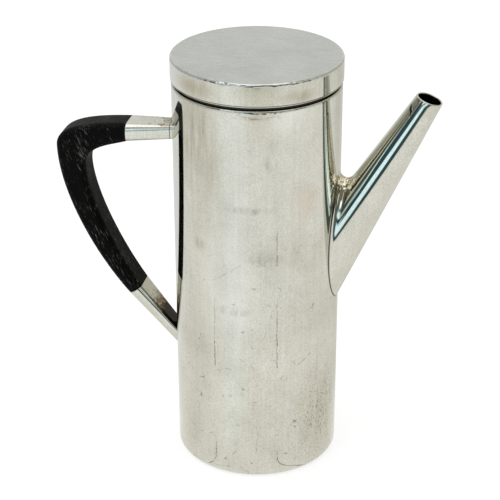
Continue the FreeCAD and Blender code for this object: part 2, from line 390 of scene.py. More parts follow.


# Wear and painted reflections on the body, in mm on its unrolled surface: round from the front towards
# the spout, and up.
# A patch is its middle, its half width and half height, and how strongly it shows. Its noise leaves
# it bare at the first value of cover and whole at the second.
bodyWearAndReflections = {
    "cleaned": {
        "tint": (0.93, 0.93, 0.89), "scale": 60.0, "squeeze": upright, "cover": (0.2, 0.6),
        "patches": [
            ((-12, 118), (20, 50), 0.40),
            ((30, 214), (22, 16), 0.45),
            ((-60, 160), (20, 30), 0.3),
        ],
    },
    "blushes": {
        "tint": (0.66, 0.53, 0.42), "scale": 60.0, "squeeze": even, "cover": (0.2, 0.6),
        "patches": [((36, 165), (10, 12), 0.5), ((60, 100), (12, 16), 0.25)],
    },
    "stains": {
        "tint": (0.42, 0.39, 0.31), "scale": 300.0, "squeeze": streaky, "cover": (0.3, 0.65),
        "patches": [
            ((-28, 200), (17, 36), 0.95),
            ((-16, 190), (8, 30), 0.5),
            ((-24, 140), (6, 5), 0.65),
            ((-10, 10), (18, 16), 0.5),
            ((52, 40), (24, 44), 0.6),
            ((95, 90), (18, 40), 0.6),
        ],
    },
    "smudges": {
        "tint": (0.30, 0.29, 0.25), "scale": 330.0, "squeeze": upright, "cover": (0.40, 0.70),
        "patches": [
            ((5, 164), (18, 2.8), 0.7),
            ((13, 136), (11, 5), 0.7),
            ((-4, 104.5), (12, 4), 0.7),
            ((15, 188), (6, 8), 0.5),
            ((10, 215), (16, 1.8), 0.7),
            ((-70, 120), (14, 6), 0.6),
            ((100, 150), (20, 5), 0.6),
        ],
    },
    "freckles": {
        "tint": (0.16, 0.14, 0.10), "scale": 850.0, "squeeze": even, "cover": (0.54, 0.64),
        "patches": [
            ((52, 32), (34, 42), 0.9),
            ((4, 25), (44, 36), 0.24),
            ((20, 75), (30, 30), 0.2),
            ((-80, 40), (30, 30), 0.6),
        ],
    },
    "patchCore": 0.25,  # share of a patch's half sizes within which it is whole
    "patchDetail": 5.0,
    "patchRough": 0.68,
    "scratches": {
        "waves": {"scale": 130.0, "detail": 1.0},
        "width": (0.017, 0.0051),  # off the noise's middle value where a scratch is gone, and full
        "broken": {"scale": 230.0, "detail": 3.0},
        "kept": (0.54, 0.68),
        "share": 0.6,
        "fade": (160.0, 75.0),  # heights in mm between which they grow stronger
        "faint": 0.15,  # how strong they are above
    },
    "hairTint": (0.13, 0.105, 0.07),
    "hairWidth": (0.40, 0.05),  # mm from a hairline's middle where it is gone, and full
    "shake": {"scale": 260.0, "detail": 3.0},
    "shakeReach": 1.3,  # mm
    "breaks": {"scale": 420.0, "detail": 5.0, "rough": 0.7},
    "breakRange": (0.36, 0.58),
    # a line is how strongly it shows, and its points; the upright lines near -15 and +20 mm round, with
    # their bends at the foot, are painted reflections, the rest scratches
    "reflectionAndScratchLines": [
        (0.55, (-14.6, 110), (-14.8, 84)),
        (1.0, (-14.8, 84), (-14.9, 68)),
        (0.75, (19.6, 152), (19.7, 132)),
        (0.45, (19.8, 112), (19.9, 100)),
        (0.95, (19.9, 100), (19.9, 70)),
        (1.0, (-14.6, 19), (-14.9, 9.5), (-16.5, 5.6), (-20, 3.2)),
        (1.0, (20.2, 16), (20.4, 10.4), (22, 7.6), (25, 5.5)),
        (0.75, (25, 5.5), (38, 2)),
        (0.35, (0, 132), (-15, 121)),
        (0.2, (7, 136), (19.6, 128)),
        (0.5, (12.7, 110), (17, 107.5)),
        (0.5, (17, 104.7), (20.8, 109)),
        (0.35, (16.5, 103.6), (15.2, 93)),
        (0.4, (13.8, 92), (11.7, 87)),
        (0.75, (32.3, 69), (40.3, 74)),
        (0.35, (9.6, 29), (8.4, 19)),
        (0.7, (8.4, 19), (9.2, 16.2)),
        (0.55, (-15.8, 4), (-5.8, 5)),
        (0.45, (-1.5, 216.4), (5.6, 215)),
        (0.5, (5.6, 215), (10.5, 214.4)),
        (0.35, (10.5, 214.4), (20, 216)),
        (0.35, (-20.1, 214), (-20.4, 203)),
        (0.9, (46.6, 42), (48, 39)),
        (0.6, (50, 44.6), (54.4, 41)),
        (0.9, (53.6, 31.6), (51.7, 28)),
        (0.7, (59.3, 42.4), (60.3, 39)),
        (0.8, (41.3, 28.3), (43, 25)),
        (0.5, (37.6, 31.8), (39, 28)),
        (0.9, (20, 61.7), (21.7, 61)),
        (0.8, (6.1, 83.7), (6.6, 82.5)),
        (0.9, (5.4, 9.4), (6.5, 8.7)),
        (0.8, (-13, 66.5), (-11.2, 66)),
        (0.5, (-62, 96), (-50, 104)),
        (0.5, (70, 120), (82, 108)),
        (0.5, (-95, 60), (-101, 84)),
        (0.5, (112, 40), (118, 66)),
    ],
}


# Unrolled place on the body: distance round from the front, and height.
def unrolled(tree, coords):
    split = addNode(tree, "ShaderNodeSeparateXYZ", {"Vector": coords})
    front = calc(tree, "MULTIPLY", split.outputs["Y"], -1.0)
    angle = calc(tree, "ARCTAN2", split.outputs["X"], front)
    around = calc(tree, "MULTIPLY", angle, potRadius)
    return addNode(tree, "ShaderNodeCombineXYZ", {"X": around, "Y": split.outputs["Z"]}).outputs[0]


# Thin dark lines, scratches and painted reflections: distance from the unrolled place, shaken by noise,
# to each straight stretch.
def scratchAndReflectionLineMask(tree, coords):
    shake = noise(tree, coords, output="Color", **bodyWearAndReflections["shake"])
    swing = vectorCalc(tree, "SUBTRACT", shake, (noiseMiddle, noiseMiddle, noiseMiddle))
    reach = bodyWearAndReflections["shakeReach"] * mm
    offset = vectorCalc(tree, "MULTIPLY", swing, (reach, reach, 0))
    place = vectorCalc(tree, "ADD", unrolled(tree, coords), offset)
    gone, full = metres(bodyWearAndReflections["hairWidth"])
    lines = []
    for share, *points in bodyWearAndReflections["reflectionAndScratchLines"]:
        corners = np.array([(*point, 0.0) for point in points]) * mm
        for first, span in zip(corners, np.diff(corners, axis=0)):
            fromStart = vectorCalc(tree, "SUBTRACT", place, tuple(first))
            along = vectorCalc(tree, "DOT_PRODUCT", fromStart, tuple(span / (span @ span)))
            held = calc(tree, "MULTIPLY", along, 1.0, clamp=True)
            foot = vectorCalc(tree, "SCALE", tuple(span), scale=held)
            gap = vectorCalc(tree, "DISTANCE", fromStart, foot)
            lines.append(fade(tree, gap, gone, full, 0.0, share))
    breaks = noise(tree, coords, **bodyWearAndReflections["breaks"])
    kept = fade(tree, breaks, *bodyWearAndReflections["breakRange"])
    return multiply(tree, largest(tree, lines), kept)


# Short crooked scratches: where one noise passes its middle value, kept here and there by another.
def scratchMask(tree, coords):
    look = bodyWearAndReflections["scratches"]
    waves = noise(tree, coords, **look["waves"])
    lines = lineAt(tree, waves, noiseMiddle, *look["width"])
    broken = noise(tree, coords, **look["broken"])
    kept = fade(tree, broken, *look["kept"])
    strong = fade(tree, heightOf(tree, coords), *metres(look["fade"]), look["faint"], 1.0)
    return multiply(tree, lines, kept, strong, look["share"])


# Soft patches on the unrolled body: each an ellipse that fades outwards, broken up by noise.
# Gives the mask builder and its colour.
def patchMark(wear):
    def build(tree, coords):
        flat = unrolled(tree, coords)
        core = bodyWearAndReflections["patchCore"]
        spots = []
        for middle, half, share in wear["patches"]:
            moved = vectorCalc(tree, "SUBTRACT", flat, (*metres(middle), 0))
            sized = vectorCalc(tree, "DIVIDE", moved, (*metres(half), 1))
            spots.append(fade(tree, vectorCalc(tree, "LENGTH", sized), 1.0, core, 0.0, share))
        detail, rough = bodyWearAndReflections["patchDetail"], bodyWearAndReflections["patchRough"]
        broken = noise(tree, coords, wear["scale"], detail, wear["squeeze"], rough=rough)
        breaks = fade(tree, broken, *wear["cover"])
        return multiply(tree, largest(tree, spots), breaks)

    return build, wear["tint"]


rimLook = {
    "range": (217.0, 217.7),  # mm up the body where the rim's dents and painted shade begin, and where they are full
    "dents": {"scale": 260.0, "detail": 2.0},
    "dentShare": 0.2,
    "dentDepth": 1.0,  # mm
    "shadeNoise": {"scale": 130.0, "detail": 3.0},
    "shadeWave": 1.5,  # mm that its lower edge wanders
    "shadeShare": 0.3,
    "tint": (0.20, 0.20, 0.175),
}


# Small knocks along the body's rim.
def rimDents(tree, coords, normal):
    rim = fade(tree, heightOf(tree, coords), *metres(rimLook["range"]))
    share, depth = rimLook["dentShare"], rimLook["dentDepth"]
    return lumpy(tree, coords, rimLook["dents"], rim, share, depth, normal)


# Painted shade along the rim, just under the gap.
def rimGapShade(tree, coords):
    uneven = noise(tree, coords, **rimLook["shadeNoise"])
    wave = multiply(tree, centred(tree, uneven), rimLook["shadeWave"] * mm)
    height = calc(tree, "ADD", heightOf(tree, coords), wave)
    rim = fade(tree, height, *metres(rimLook["range"]))
    return multiply(tree, rim, rimLook["shadeShare"])


seamLook = {
    "width": 0.42,  # mm of dark solder line where a piece meets the body
    "core": 0.35,  # share of that width that is fully dark
    "share": 0.92,
    "fade": (158.0, 168.0),  # the spout's line fades between these heights, towards the crotch
    "tint": (0.035, 0.03, 0.022),
    "collar": 1.6,  # mm from the body to the upper socket's solder line
    "collarWidth": (0.35, 0.12),  # mm from its middle where it is gone, and full
    "collarShare": 0.85,
    "crotch": (49.5, 0.0, 167.0),
    "crotchReach": 10.0,
    "crotchCore": 0.35,  # share of that reach that is lumpy in full
    "lumps": {"scale": 360.0, "detail": 1.0},
    "lumpDepth": 1.2,  # mm
    # painted warm reflection round the crotch
    "warmReflection": (0.74, 0.66, 0.50),
    "warmReflectionShare": 0.5,
}


# Dark line along a soldered seam: within a small distance of the body's own surface.
def seamMask(tree, coords):
    width = seamLook["width"] * mm
    full = potRadius + seamLook["core"] * width
    near = fade(tree, reachFromAxis(tree, coords), potRadius + width, full)
    below = fade(tree, heightOf(tree, coords), *metres(seamLook["fade"]), 1.0, 0.0)
    return multiply(tree, near, below, seamLook["share"])


# The upper socket's solder line lies a little away from the body.
def collarMask(tree, coords):
    middle = potRadius + seamLook["collar"] * mm
    line = lineAt(tree, reachFromAxis(tree, coords), middle, *metres(seamLook["collarWidth"]))
    return multiply(tree, line, seamLook["collarShare"])


# One round the crotch's middle, fading to nothing at its reach.
def nearCrotch(tree, coords):
    far = vectorCalc(tree, "DISTANCE", coords, metres(seamLook["crotch"]))
    reach = seamLook["crotchReach"] * mm
    return fade(tree, far, reach, seamLook["crotchCore"] * reach)


# Painted warm reflection at the crotch.
def warmReflectionMask(tree, coords):
    return multiply(tree, nearCrotch(tree, coords), seamLook["warmReflectionShare"])


# Uneven solder at the crotch: small soft lumps.
def crotchLumps(tree, coords, normal):
    near = nearCrotch(tree, coords)
    return lumpy(tree, coords, seamLook["lumps"], near, 1.0, seamLook["lumpDepth"], normal)


grimeLook = {
    # layers: mm from the body where specks begin and where they cover, how much they cover, colour
    "upper": [(20.0, 1.0, 0.30, "brown")],
    "lower": [(19.0, 7.0, 0.52, "brown"), (11.5, 5.0, 0.75, "black")],
    "brown": (0.15, 0.09, 0.033),
    "black": (0.010, 0.008, 0.006),
    "spots": {"scale": 520.0, "detail": 5.0, "rough": 0.68},
    "spotRange": (0.66, 0.88),
    "side": (1.1, 0.5),  # mm under the hand's side where grime begins, and where it is full
    "onset": 0.15,  # share of a layer's reach over which it sets in
    "share": 0.92,
}


# Old polish and tarnish on the side of a socket that faces the hand: specks closing up towards the
# body. The side is the plane through the socket's edges at mouth and root.
def socketGrime(socket, begin, full, cover):
    mouth, root, across = socketLine(socket)
    mouthHalf, rootHalf = np.array(socket["thick"]) * mm / 2
    mouthEdge = mouth + across * mouthHalf
    line = unit(root + across * rootHalf - mouthEdge)
    normal = np.array([-line[2], 0.0, line[0]])
    normal = normal * np.sign(normal @ across)
    level = float(mouthEdge @ normal)

    def build(tree, coords):
        near = fade(tree, reachFromAxis(tree, coords), potRadius + begin * mm, potRadius + full * mm)
        side = vectorCalc(tree, "DOT_PRODUCT", coords, tuple(normal))
        face = fade(tree, side, *(level - depth * mm for depth in grimeLook["side"]))
        spots = noise(tree, coords, **grimeLook["spots"])
        amount = calc(tree, "ADD", spots, multiply(tree, near, cover))
        covered = fade(tree, amount, *grimeLook["spotRange"])
        onset = fade(tree, near, 0.0, grimeLook["onset"])
        return multiply(tree, covered, face, onset, grimeLook["share"])

    return build


gapShadeLook = {
    "range": (217.4, 218.6),  # mm up where the painted shade begins, and where it is full
    "share": 0.94,
    "tint": (0.012, 0.012, 0.010),
}


# Painted shade on the bezel where it shows in the gap under the lid.
def gapShadeMask(tree, coords):
    dark = fade(tree, heightOf(tree, coords), *metres(gapShadeLook["range"]))
    return multiply(tree, dark, gapShadeLook["share"])


bandMarksAndPaintedLight = {
    "paintedLine": 1.1,  # mm above the band's lower edge
    "paintedLineWidth": (0.30, 0.12),  # mm from the line's middle where it is gone, and full
    "paintedLineShare": 0.9,
    "paintedLineTint": (0.06, 0.058, 0.045),
    "edgeShadeFade": 0.2,  # mm below the line over which the painted shade grows
    "edgeShadeShare": 0.3,
    "edgeShadeTint": (0.52, 0.53, 0.47),
    "stains": {
        "tint": (0.38, 0.32, 0.22), "scale": 140.0, "squeeze": upright, "cover": (0.3, 0.65),
        # the first patch, on the band's left, is a painted dark reflection
        "patches": [((-27, 227), (17, 6), 0.85), ((30, 225), (12, 5), 0.7), ((80, 226), (20, 5), 0.8)],
    },
}
paintedLineHeight = turnedSize("lid_band")[1] + bandMarksAndPaintedLight["paintedLine"] * mm


# Painted reflection: a fine dark line round the band just above its turned-in edge.
def paintedEdgeLineMask(tree, coords):
    width = metres(bandMarksAndPaintedLight["paintedLineWidth"])
    line = lineAt(tree, heightOf(tree, coords), paintedLineHeight, *width)
    return multiply(tree, line, bandMarksAndPaintedLight["paintedLineShare"])


# Painted shade: darker metal below that line, where the edge turns in.
def paintedEdgeShadeMask(tree, coords):
    dull = paintedLineHeight - bandMarksAndPaintedLight["edgeShadeFade"] * mm
    below = fade(tree, heightOf(tree, coords), paintedLineHeight, dull)
    return multiply(tree, below, bandMarksAndPaintedLight["edgeShadeShare"])


lidLook = {
    "bright": (0.70, 0.705, 0.675),
    "dull": (0.44, 0.445, 0.425),
    "satin": 0.36,  # roughness of the flat
    "polished": 0.05,  # and of the worn edge
    "edge": (43.9, 44.3),  # mm from the middle where the satin ends
    "lines": {"scale": 1300.0, "detail": 3.0, "squeeze": (0.06, 1, 1)},
    "lineShare": 0.5,
    "grain": {"scale": 1700.0, "detail": 2.0},
    "grainShare": 0.6,
    "cloud": {"scale": 45.0, "detail": 3.0},
    "cloudShare": 0.3,
    "toneRange": (0.45, 0.95),  # bright below, dull above, for the sum of these three
    "brushing": 0.06,
    "brushDepth": 0.5,  # mm
    "knocks": {"scale": 170.0, "detail": 1.0},
    "knocking": 0.8,
    "knockDepth": 1.4,  # mm
}


# Brushed lid: fine straight brush lines along X on the flat, polished again at the worn edge.
def brushedLid(name, look):
    material, tree, shader, coords = newMaterial(name)
    lines, grain, cloud = (noise(tree, coords, **look[key]) for key in ("lines", "grain", "cloud"))
    tone = shareSum(
        tree, (lines, look["lineShare"]), (grain, look["grainShare"]), (cloud, look["cloudShare"])
    )
    share = fade(tree, tone, *look["toneRange"])
    colour = mixColour(tree, share, look["bright"], look["dull"])
    reach = reachFromAxis(tree, coords)
    edge = metres(look["edge"])
    rough = fade(tree, reach, *edge, look["satin"], look["polished"])
    brushed = bumped(tree, lines, look["brushing"], look["brushDepth"])
    worn = fade(tree, reach, *edge)
    bump = lumpy(tree, coords, look["knocks"], worn, look["knocking"], look["knockDepth"], brushed)
    shader.inputs["Metallic"].default_value = 1.0
    dressShader(tree, shader, colour, rough, bump)
    return material


ebonyLook = {
    "dark": (0.0008, 0.0008, 0.001),
    "brown": (0.0032, 0.003, 0.0026),
    "fleck": (0.11, 0.108, 0.105),
    "grainTilt": -25.0,  # degrees the grain leans from upright, along the lower arm
    "cloud": {"scale": 260.0, "detail": 3.0, "squeeze": (1, 1, 0.15)},
    "pores": {"scale": 2300.0, "detail": 3.0, "squeeze": (1, 1, 0.08), "rough": 0.6},
    "crowd": {"scale": 90.0, "detail": 3.0},  # where the pores gather
    "crowdShare": 0.35,
    "poreRange": (0.78, 0.92),
    "poreTilt": 0.3,
    "poreDepth": 0.4,  # mm
    "rough": (0.35, 0.6),  # between the dark and the brown places
    "gloss": 0.045,
}


# Ebony: straight grain along the lower arm, brown-black clouds and short pale open pores.
def ebonyWood(name, look):
    material, tree, shader, coords = newMaterial(name)
    turn = (0, math.radians(look["grainTilt"]), 0)
    cloud = noise(tree, coords, turn=turn, **look["cloud"])
    base = mixColour(tree, cloud, look["dark"], look["brown"])
    pores = noise(tree, coords, turn=turn, **look["pores"])
    crowd = noise(tree, coords, **look["crowd"])
    poreLevel = shareSum(tree, (pores, 1.0), (crowd, look["crowdShare"]))
    fleck = fade(tree, poreLevel, *look["poreRange"])
    colour = mixColour(tree, fleck, base, look["fleck"])
    rough = fade(tree, cloud, 0.0, 1.0, *look["rough"])
    bump = bumped(tree, pores, look["poreTilt"], look["poreDepth"])
    shader.inputs["Specular IOR Level"].default_value = look["gloss"]
    dressShader(tree, shader, colour, rough, bump)
    return material


patchKinds = ("cleaned", "blushes", "stains", "smudges", "freckles")
bodyMarks = [patchMark(bodyWearAndReflections[kind]) for kind in patchKinds]
bodyMarks += [(scratchMask, bodyWearAndReflections["hairTint"]), (scratchAndReflectionLineMask, bodyWearAndReflections["hairTint"])]
# painted shade along the rim, under the lid's gap
bodyMarks += [(rimGapShade, rimLook["tint"])]
bodySilver = polishedSilver("bodySilver", silverLook, bodyMarks, rimDents)
spoutMarks = [(warmReflectionMask, seamLook["warmReflection"]), (seamMask, seamLook["tint"])]
spoutSilver = polishedSilver("spoutSilver", silverLook, spoutMarks, crotchLumps)
bandMarks = [
    patchMark(bandMarksAndPaintedLight["stains"]),
    # painted shade and a painted dark reflection line at the band's lower edge
    (paintedEdgeShadeMask, bandMarksAndPaintedLight["edgeShadeTint"]),
    (paintedEdgeLineMask, bandMarksAndPaintedLight["paintedLineTint"]),
]
bandSilver = polishedSilver("bandSilver", silverLook, bandMarks)
plainSilver = polishedSilver("plainSilver", silverLook)
bezelSilver = polishedSilver("bezelSilver", silverLook, [(gapShadeMask, gapShadeLook["tint"])])
lidSatin = brushedLid("brushedLid", lidLook)
ebony = ebonyWood("ebonyWood", ebonyLook)
print("finishes made")

bodyShape = {
    "wall": 1.0,
    "footEdge": 2.8,  # rounding of the lower edge
    "rimEdges": (0.8, 0.15),  # outer, inner
    "footReach": 37.2,  # how far in the turned-in foot comes
    "segments": 256,
}
# hole is a radius, middle a height and steps the grid's steps across one cell
strainer = {"rows": 7, "columns": 3, "pitch": 6.0, "hole": 1.6, "middle": 131.63, "steps": 4}


# Tube with a turned-in foot. Behind the spout the grid follows the strainer's square cells:
# there each cell runs from its square border to a round hole, on the outer and the inner wall,
# and the hole's own wall joins the two circles.
def makeBody(shape, holes):
    wall, edge = shape["wall"] * mm, shape["footEdge"] * mm
    outerRim, innerRim = metres(shape["rimEdges"])
    reach, inner = shape["footReach"] * mm, potRadius - shape["wall"] * mm
    corners = softCorners(
        [
            (reach, potFoot, 0.0),
            (potRadius, potFoot, edge),
            (potRadius, potRim, outerRim),
            (inner, potRim, innerRim),
            (inner, potFoot + wall, edge - wall),
            (reach, potFoot + wall, 0.0),
        ]
    )
    steps, rows, columns = holes["steps"], holes["rows"], holes["columns"]
    pitch, middle = holes["pitch"] * mm, holes["middle"] * mm
    pitchAngle = pitch / potRadius
    heights = middle + pitch * np.linspace(-rows / 2, rows / 2, rows * steps + 1)
    outerRows = np.stack([np.full_like(heights, potRadius), heights], axis=1)
    innerRows = np.stack([np.full_like(heights, inner), heights], axis=1)[::-1]
    runs = [*corners[:2], outerRows, *corners[2:4], innerRows, *corners[4:]]
    firstRow = np.cumsum([0] + [len(run) for run in runs])
    patch = pitchAngle * np.linspace(-columns / 2, columns / 2, columns * steps + 1)
    rest = np.linspace(patch[-1], 2 * math.pi + patch[0], shape["segments"])[1:-1]
    grid = turnedGrid(np.concatenate(runs), np.concatenate([patch, rest]))
    quads = gridQuads(*grid.shape[:2], closeRows=True)
    keep = np.ones(quads.shape[:2], bool)
    for run in (2, 5):
        keep[firstRow[run]:firstRow[run + 1] - 1, :columns * steps] = False

    side = np.stack([np.linspace(-1, 1, steps + 1)[:-1], -np.ones(steps)], axis=1)
    quarterTurn = np.array([[0, 1], [-1, 0]])
    border = np.concatenate([side @ np.linalg.matrix_power(quarterTurn, k) for k in range(4)])
    circle = unit(border) * holes["hole"] * 2 / holes["pitch"]
    across = (np.arange(columns) - (columns - 1) / 2)[None, :, None, None]
    up = (np.arange(rows) - (rows - 1) / 2)[:, None, None, None]
    rings = np.stack([border, circle, circle, border])  # outer wall, then inner wall
    ringRadius = np.array([potRadius, potRadius, inner, inner])[None, None, :, None]
    angle = pitchAngle * (across + rings[None, None, ..., 0] / 2) + 0 * up
    height = middle + pitch * (up + rings[None, None, ..., 1] / 2) + 0 * across
    cells = np.stack([ringRadius * np.cos(angle), ringRadius * np.sin(angle), height], axis=-1)
    cells = cells.reshape(rows * columns, 4, 4 * steps, 3)
    cellQuads = gridQuads(4, 4 * steps).reshape(-1, 4)
    starts = grid[..., 0].size + np.arange(rows * columns)[:, None, None] * cells[0, ..., 0].size
    points = np.concatenate([grid.reshape(-1, 3), cells.reshape(-1, 3)])
    faces = np.concatenate([quads[keep], (starts + cellQuads).reshape(-1, 4)])
    return makePiece("bodyTube", points, faces)


body = makeBody(bodyShape, strainer)
finishPiece(body, "pot", "body_wall", bodySilver)


# Ring or disc of square section, as high and wide as its node: inner radius and the rounding of the
# inner low, outer low, outer high and inner high corner, in mm.
def ringPiece(name, node, inner, edges, count=256, steps=6):
    radius, low, high = turnedSize(node)
    corners = [(inner, low), (radius, low), (radius, high), (inner, high)]
    return turnedPiece(name, [(*at, edge * mm) for at, edge in zip(corners, edges)], count, steps)


plateShape = {"edges": (0.0, 0.25, 0.25, 0.0), "segments": 160}
plate = ringPiece("baseDisc", "base_plate", 0.0, plateShape["edges"], plateShape["segments"])
finishPiece(plate, "pot", "base_plate", plainSilver)

bearerShape = {"width": 3.0, "edges": (0.3, 0.3, 0.3, 0.3), "segments": 192}
bearerInner = turnedSize("lid_bearer")[0] - bearerShape["width"] * mm
bearer = ringPiece(
    "lidBearer", "lid_bearer", bearerInner, bearerShape["edges"], bearerShape["segments"]
)
finishPiece(bearer, "pot", "lid_bearer", plainSilver)
print("body, base and bearer made")

spoutShape = {
    "tip": (90.7, 215.1),  # middle of the mouth, out and up
    "rise": 61.3,  # degrees above level
    "halfAngle": 4.5,
    "tipRadius": 6.95,
    "wall": 0.9,
    "mouthTilt": 18.0,  # the lip side of the mouth is lower
    "crotchBlend": 4.0,  # rolling radius above, where spout and body meet
    "seamBlend": 0.4,  # and below
    "segments": 128,
    "coneRows": 40,
    "evenShare": 0.96,  # share of the cone's length that these rows divide evenly
    "closing": (0.98, 0.992, 1.0),  # its last rows, as shares of that length
    "blendRows": 14,
    "boreRows": 12,
    "lipRows": 7,
}


# Cone of straight lines from a tilted mouth down to the tube. A ball of radius r rolls in the
# crease: its centre is where the line pushed out by r meets the tube widened by r, and the arc
# between its two touching points is the blend. r fades from the crotch to the seam's lowest point.
def makeSpout(shape):
    rise, half = math.radians(shape["rise"]), math.radians(shape["halfAngle"])
    wall, tipRadius = shape["wall"] * mm, shape["tipRadius"] * mm
    tip = np.array([shape["tip"][0], 0.0, shape["tip"][1]]) * mm
    down = np.array([-math.cos(rise), 0.0, -math.sin(rise)])
    upSide = np.array([-math.sin(rise), 0.0, math.cos(rise)])
    tilt = math.radians(shape["mouthTilt"])
    mouthNormal = np.array([math.sin(tilt), 0.0, math.cos(tilt)])
    turn = evenAngles(shape["segments"])[:, None]
    spoke = np.cos(turn) * upSide + np.sin(turn) * np.array([0.0, 1.0, 0.0])
    line = down + math.tan(half) * spoke
    outward = math.cos(half) * spoke - math.sin(half) * down

    upShare = (1 + np.cos(turn)) / 2
    ball = (shape["seamBlend"] + (shape["crotchBlend"] - shape["seamBlend"]) * upShare) * mm
    tube = potRadius + contactGap
    outerStart, innerStart = tip + tipRadius * spoke, tip + (tipRadius - wall) * spoke
    pushed = outerStart + ball * outward
    run = runToTube(pushed, line, tube + ball[:, 0])
    centre = pushed + run * line
    towardCone, towardTube = -outward, -unit(centre * np.array([1.0, 1.0, 0.0]))
    sweep = np.arccos(np.clip((towardCone * towardTube).sum(1, keepdims=True), -1, 1))

    toMouth = -(spoke @ mouthNormal)[:, None] / (line @ mouthNormal)[:, None]
    outerMouth, innerMouth = tipRadius * toMouth, (tipRadius - wall) * toMouth
    lip = wall / 2
    evenRows = np.linspace(0, shape["evenShare"], shape["coneRows"])
    along = np.concatenate([evenRows, shape["closing"]])[:, None, None]
    outerRows = outerStart + line * (outerMouth + lip + (run - outerMouth - lip) * along)
    share = np.linspace(0, 1, shape["blendRows"] + 1)[1:, None, None]
    arcRows = centre + ball * arcBetween(towardCone, towardTube, sweep, share)
    boreRun = runToTube(innerStart, line, tube)
    boreAlong = np.linspace(1, 0, shape["boreRows"])[:, None, None]
    boreRows = innerStart + line * (innerMouth + lip + (boreRun - innerMouth - lip) * boreAlong)
    roll = np.linspace(math.pi, 0, shape["lipRows"] + 2)[1:-1, None, None]
    lipMiddle = (outerRows[0] + boreRows[-1]) / 2
    lipAcross = (outerRows[0] - boreRows[-1]) / 2
    lipRows = lipMiddle + np.cos(roll) * lipAcross - np.sin(roll) * lip * down
    return gridPiece(
        "spoutCone", np.concatenate([outerRows, arcRows, boreRows, lipRows]), closeRows=True
    )


spout = makeSpout(spoutShape)
finishPiece(spout, "pot", "spout", spoutSilver)
print("spout made")


# Rounded rectangle as a pattern of four corner arcs with a guard point on each side: a point is
# (sideX * (halfWidth - r) + r * arcX, sideY * (halfThick - r) + r * arcY).
def sectionPattern(steps=6, guard=0.08):
    quarter = np.arange(4)[:, None]
    sides = np.array([[1, 1], [-1, 1], [-1, -1], [1, -1]], float)[:, None]
    angle = (quarter + np.linspace(0, 1, steps + 1)) * math.pi / 2
    arc = np.stack([np.cos(angle), np.sin(angle)], axis=-1)
    onward = np.stack([-np.sin(angle), np.cos(angle)], axis=-1)
    before, after = arc[:, :1] - guard * onward[:, :1], arc[:, -1:] + guard * onward[:, -1:]
    arc = np.concatenate([before, arc, after], axis=1)
    return (sides + 0 * arc).reshape(-1, 2), arc.reshape(-1, 2)


sectionSide, sectionArc = sectionPattern()


# Sections of given widths, thicknesses and corner radii, each one for all rows or one per row, set
# at middles with the thickness along across and the width along Y.
def sectionRows(middles, across, widths, thicks, radii):
    widths, thicks, radii = (np.reshape(v, (-1, 1)) for v in (widths, thicks, radii))
    sideways = sectionSide[:, 0] * (widths / 2 - radii) + radii * sectionArc[:, 0]
    through = sectionSide[:, 1] * (thicks / 2 - radii) + radii * sectionArc[:, 1]
    rows = middles[:, None] + across[:, None] * through[..., None]
    rows[..., 1] += sideways
    return rows


handleShape = {
    "width": 18.0,
    "corner": 3.6,
    "tenon": 14.0,  # length of the grip inside each socket
    "tenonInset": 1.4,
    "tenonTaper": 0.9,  # size of a tenon's end beside its root
    "edgeBreak": 0.25,  # softened edge where grip and socket meet
    "edgeSteps": 5,
    # outer and inner edge of the grip seen from the side: out and up of each curve's four points
    "outerEdge": [
        [(-70.3, 191.1), (-86.9, 190.1), (-109.9, 188.1), (-109.9, 175.8)],
        [(-109.9, 175.8), (-109.9, 148.7), (-92.1, 112.2), (-71.9, 88.8)],
    ],
    "innerEdge": [
        [(-70.3, 180.7), (-80.3, 177.3), (-93.8, 176.3), (-93.8, 164.3)],
        [(-93.8, 164.3), (-93.8, 147.2), (-80.6, 116.8), (-64.8, 93.3)],
    ],
    "rows": 48,
    "socketRows": 16,
}
# mouth and root are a socket's middles, out and up, tilt is the slope of its thickness in degrees,
# width, thick and corner are given at mouth and root, and the pin sits that far from the mouth
socketShapes = {
    "upper": {
        "mouth": (-70.3, 185.9), "root": (-45.0, 187.8), "tilt": 90.0,
        "width": (18.0, 14.0), "thick": (10.4, 8.2), "corner": (3.6, 2.2), "wall": 1.3, "pin": 7.0,
    },
    "lower": {
        "mouth": (-68.35, 91.05), "root": (-45.0, 62.95), "tilt": 32.3,
        "width": (18.0, 12.0), "thick": (8.4, 6.4), "corner": (3.6, 2.2), "wall": 1.3, "pin": 7.0,
    },
}


# Four-point curve: (1-t)^3 a + 3 (1-t)^2 t b + 3 (1-t) t^2 c + t^3 d.
def curveRows(points, share):
    a, b, c, d = (sidePoint(p) for p in points)
    t = share[:, None]
    return (1 - t) ** 3 * a + 3 * (1 - t) ** 2 * t * b + 3 * (1 - t) * t**2 * c + t**3 * d


# Grip: the rounded section spans from the inner to the outer edge curve at each step along them,
# and a smaller tenon runs on straight from each end into its socket.
def makeGrip(shape, sockets):
    share = np.linspace(0, 1, shape["rows"])
    outer = np.concatenate([curveRows(curve, share) for curve in shape["outerEdge"]])
    inner = np.concatenate([curveRows(curve, share) for curve in shape["innerEdge"]])
    middles, across = (outer + inner) / 2, unit(outer - inner)
    thicks = np.linalg.norm(outer - inner, axis=1)
    width, corner, inset = shape["width"] * mm, shape["corner"] * mm, shape["tenonInset"] * mm
    rows = sectionRows(middles, across, width, thicks, corner)

    def tenonRows(socket, end):
        mouth, root = socketLine(socket)[:2]
        into = unit(root - mouth)
        places = np.array([0.0, shape["tenon"], shape["tenon"]])[:, None] * mm
        thick = thicks[end] - 2 * inset
        scale = np.array([1.0, shape["tenonTaper"], 0.0])
        return sectionRows(
            middles[end] + into * places, np.repeat(across[end][None], 3, axis=0),
            (width - 2 * inset) * scale, thick * scale, (corner - inset / 2) * scale,
        )

    top, low = tenonRows(sockets["upper"], 0), tenonRows(sockets["lower"], -1)
    return gridPiece("ebonyGrip", np.concatenate([top[::-1], rows, low]))


